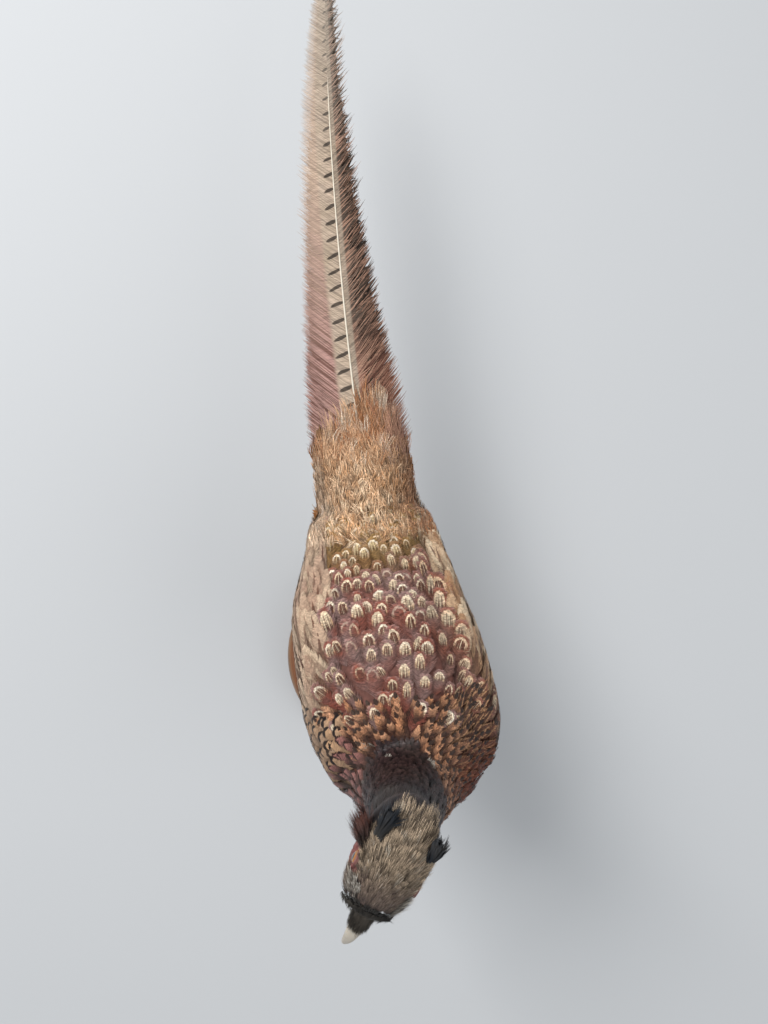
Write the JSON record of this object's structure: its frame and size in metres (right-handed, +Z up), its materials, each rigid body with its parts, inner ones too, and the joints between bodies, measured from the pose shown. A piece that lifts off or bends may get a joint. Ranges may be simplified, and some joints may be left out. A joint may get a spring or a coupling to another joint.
{
  "type": "mounted cock pheasant",
  "caption": "Life-size taxidermy cock pheasant standing on a round turned wooden plinth, neck raised, head turned to its right, long barred tail trailing behind.",
  "frame": {"origin": "centre of the round plinth's flat underside", "axes": "+Z up, square to the underside; the bird faces -Y, its tail runs along +Y, and its left side is at +X"},
  "size_m": [0.17, 0.683, 0.3774],
  "materials": {
    "varnished_wood": "old glossy varnish",
    "copper_feather": "dusty contour feathers, copper to maroon with cream arcs and dark tips",
    "dark_neck_feather": "faded plum-black neck feathers",
    "drab_crown_feather": "fine drab hair-like crown feathers",
    "buff_wing_feather": "whitish and buff wing feathers with brown streaks and bars",
    "tawny_feather": "loose golden-tan rump and tail covert feathers",
    "dark_belly_feather": "matt dark brown feathers",
    "barred_tail_feather": "buff vanes with dark bars and mauve loose fringes",
    "ivory_bill_horn": "dry ivory horn",
    "grey_leg_horn": "dry scaled horn",
    "red_face_skin": "dry dusty red face skin",
    "amber_eye_glass": "polished glass eye"
  },
  "bodies": {
    "root": {"plinth": "varnished_wood", "trunk": "copper_feather", "neck_lower": "copper_feather", "neck_upper": "dark_neck_feather", "head": "drab_crown_feather", "bill_upper": "ivory_bill_horn", "bill_lower": "ivory_bill_horn", "eye_left": "amber_eye_glass", "eye_right": "amber_eye_glass", "wattle_left": "red_face_skin", "wattle_right": "red_face_skin", "ear_tuft_left": "dark_neck_feather", "ear_tuft_right": "dark_neck_feather", "wing_coverts_left": "buff_wing_feather", "wing_coverts_right": "buff_wing_feather", "wing_flight_feathers_left": "buff_wing_feather", "wing_flight_feathers_right": "buff_wing_feather", "tail_coverts_upper": "tawny_feather", "tail_coverts_under": "dark_belly_feather", "tail_feather_central_right": "barred_tail_feather", "tail_feather_central_left": "barred_tail_feather", "tail_feather_second_right": "barred_tail_feather", "tail_feather_second_left": "barred_tail_feather", "tail_feather_third_right": "barred_tail_feather", "tail_feather_third_left": "barred_tail_feather", "tail_feather_outer_right": "barred_tail_feather", "tail_feather_outer_left": "barred_tail_feather", "thigh_left": "dark_belly_feather", "thigh_right": "dark_belly_feather", "shank_left": "grey_leg_horn", "shank_right": "grey_leg_horn", "foot_left": "grey_leg_horn", "foot_right": "grey_leg_horn"}
  },
  "joints": []
}
